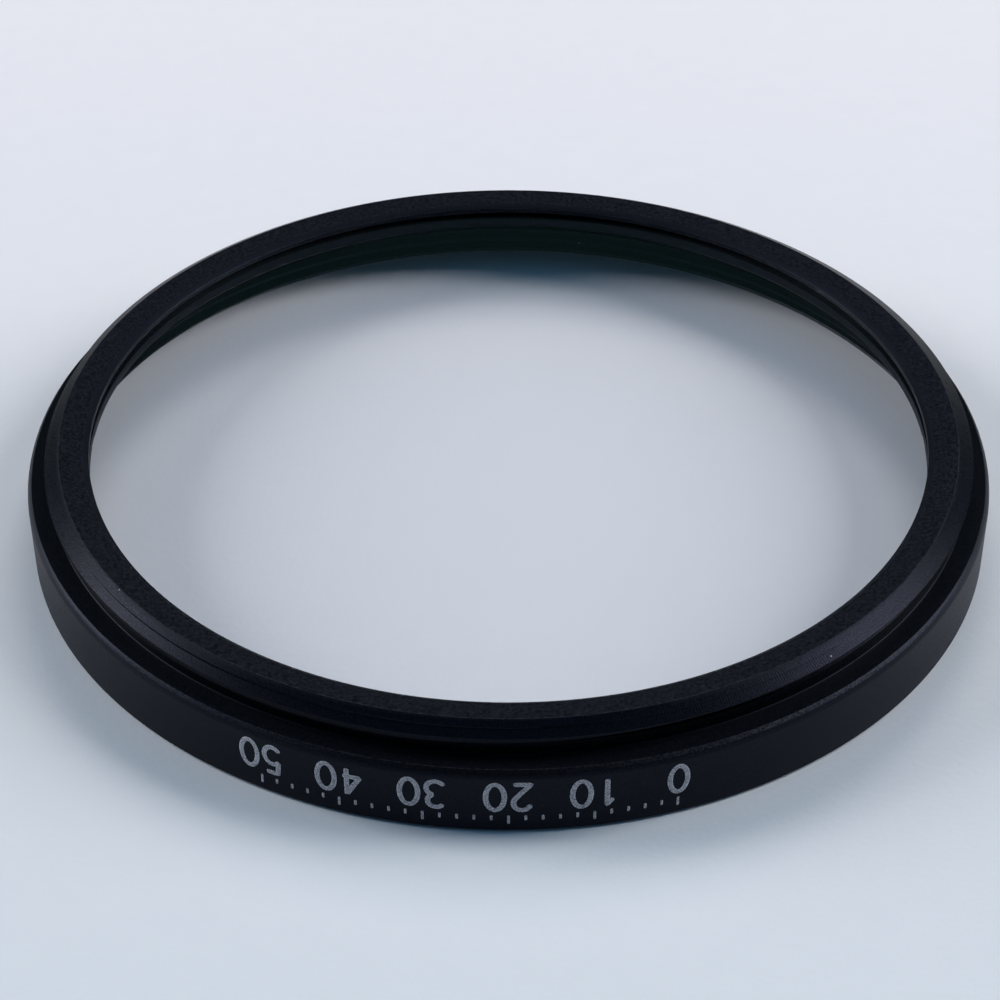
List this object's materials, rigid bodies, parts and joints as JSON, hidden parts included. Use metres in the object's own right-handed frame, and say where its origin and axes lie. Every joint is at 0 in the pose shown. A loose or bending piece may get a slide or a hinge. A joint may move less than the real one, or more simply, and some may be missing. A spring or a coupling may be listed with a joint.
{
  "type": "screw-in lens filter",
  "caption": "Round black screw-in lens filter: a turned rim with a male thread behind and a female thread in front, holding a clear glass disc with a slotted retaining ring.",
  "frame": {"origin": "centre of the front edge, on the plane that the filter lies on", "axes": "+Z along the optical axis towards the lens, so the male thread points up; X and Y lie in the plane of the glass"},
  "size_m": [0.054, 0.054, 0.0058],
  "materials": {
    "rim": "black anodised aluminium, satin",
    "glass": "polished, thinly coated",
    "ring": "black anodised aluminium, matt"
  },
  "bodies": {
    "root": {"filter_rim": "rim", "filter_glass": "glass", "retaining_ring": "ring"}
  },
  "joints": []
}
